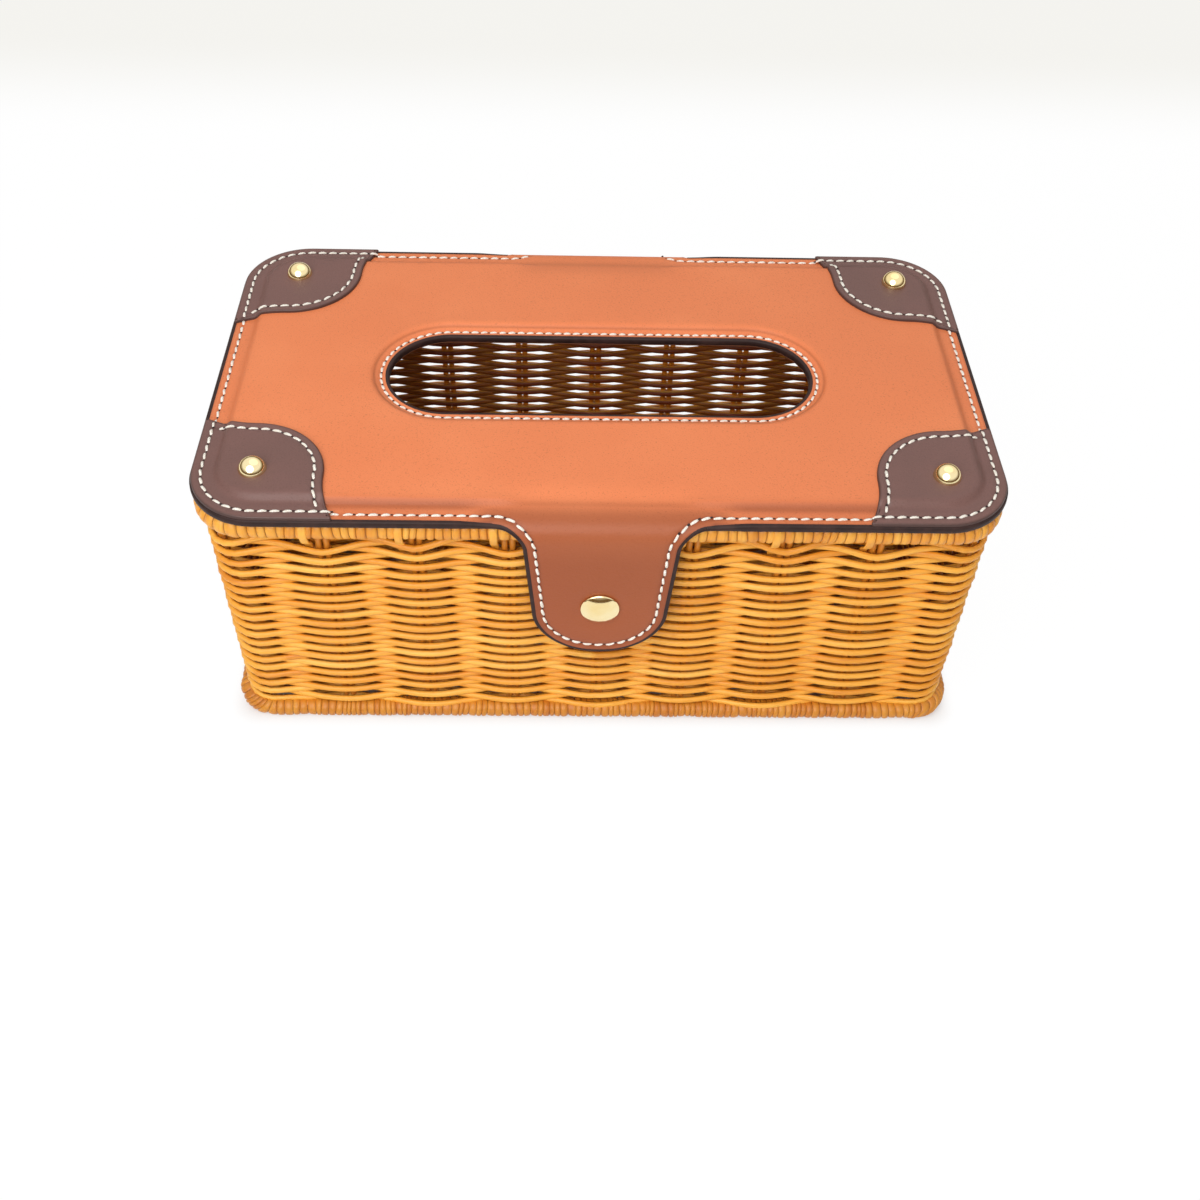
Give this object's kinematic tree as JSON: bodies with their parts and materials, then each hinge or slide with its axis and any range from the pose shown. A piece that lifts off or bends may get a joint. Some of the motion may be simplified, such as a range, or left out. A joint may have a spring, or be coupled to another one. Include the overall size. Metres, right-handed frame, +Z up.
{
  "type": "tissue box cover",
  "caption": "Rectangular woven rattan tissue box with wrapped rims and a hinged leather lid with a dispensing slot, patched corners and a magnetic front tab.",
  "frame": {"origin": "on the table, under the middle of the box", "axes": "+X along the box, -Y the front with the tab, +Z up"},
  "size_m": [0.25, 0.1472, 0.1037],
  "materials": {
    "rattan_weave": "satin natural rattan strands",
    "rattan_rod": "satin natural rattan rod",
    "rattan_cane": "satin flat cane wrap",
    "tan_leather": "smooth matt tan leather",
    "brown_leather": "smooth matt dark brown leather",
    "lining_leather": "matt lining",
    "grey_board": "plain fibre board",
    "gold_hardware": "polished gold plating",
    "magnet_steel": "plated magnet shell"
  },
  "bodies": {
    "basket": {"wall_weave": "rattan_weave", "upright_stakes": "rattan_rod", "base_weave": "rattan_weave", "base_sticks": "rattan_rod", "top_rim_core": "rattan_rod", "top_rim_wrap": "rattan_cane", "rim_ties": "rattan_cane", "bottom_rim_core": "rattan_rod", "bottom_rim_wrap": "rattan_cane", "snap_keeper": "magnet_steel", "snap_washer": "gold_hardware", "back_strap_leather": "tan_leather", "back_strap_lining": "lining_leather", "strap_rivets": "gold_hardware", "strap_washers": "gold_hardware"},
    "lid": {"lid_leather": "tan_leather", "lid_board": "grey_board", "lid_lining": "lining_leather", "corner_patch_front_left": "brown_leather", "corner_patch_front_right": "brown_leather", "corner_patch_back_left": "brown_leather", "corner_patch_back_right": "brown_leather", "corner_rivets": "gold_hardware", "corner_rivet_washers": "gold_hardware"},
    "tab": {"tab_leather": "tan_leather", "tab_lining": "lining_leather", "snap_cap": "gold_hardware", "snap_magnet": "magnet_steel"}
  },
  "joints": [
    {"name": "lid_hinge", "type": "hinge", "parent": "basket", "child": "lid", "pos_m": [0, 0.07155, 0.0955], "axis": [-1, 0, 0], "range_deg": [0, 175]},
    {"name": "tab_flex", "type": "hinge", "parent": "lid", "child": "tab", "pos_m": [0, -0.07155, 0.088], "axis": [-1, 0, 0], "range_deg": [0, 95]}
  ]
}
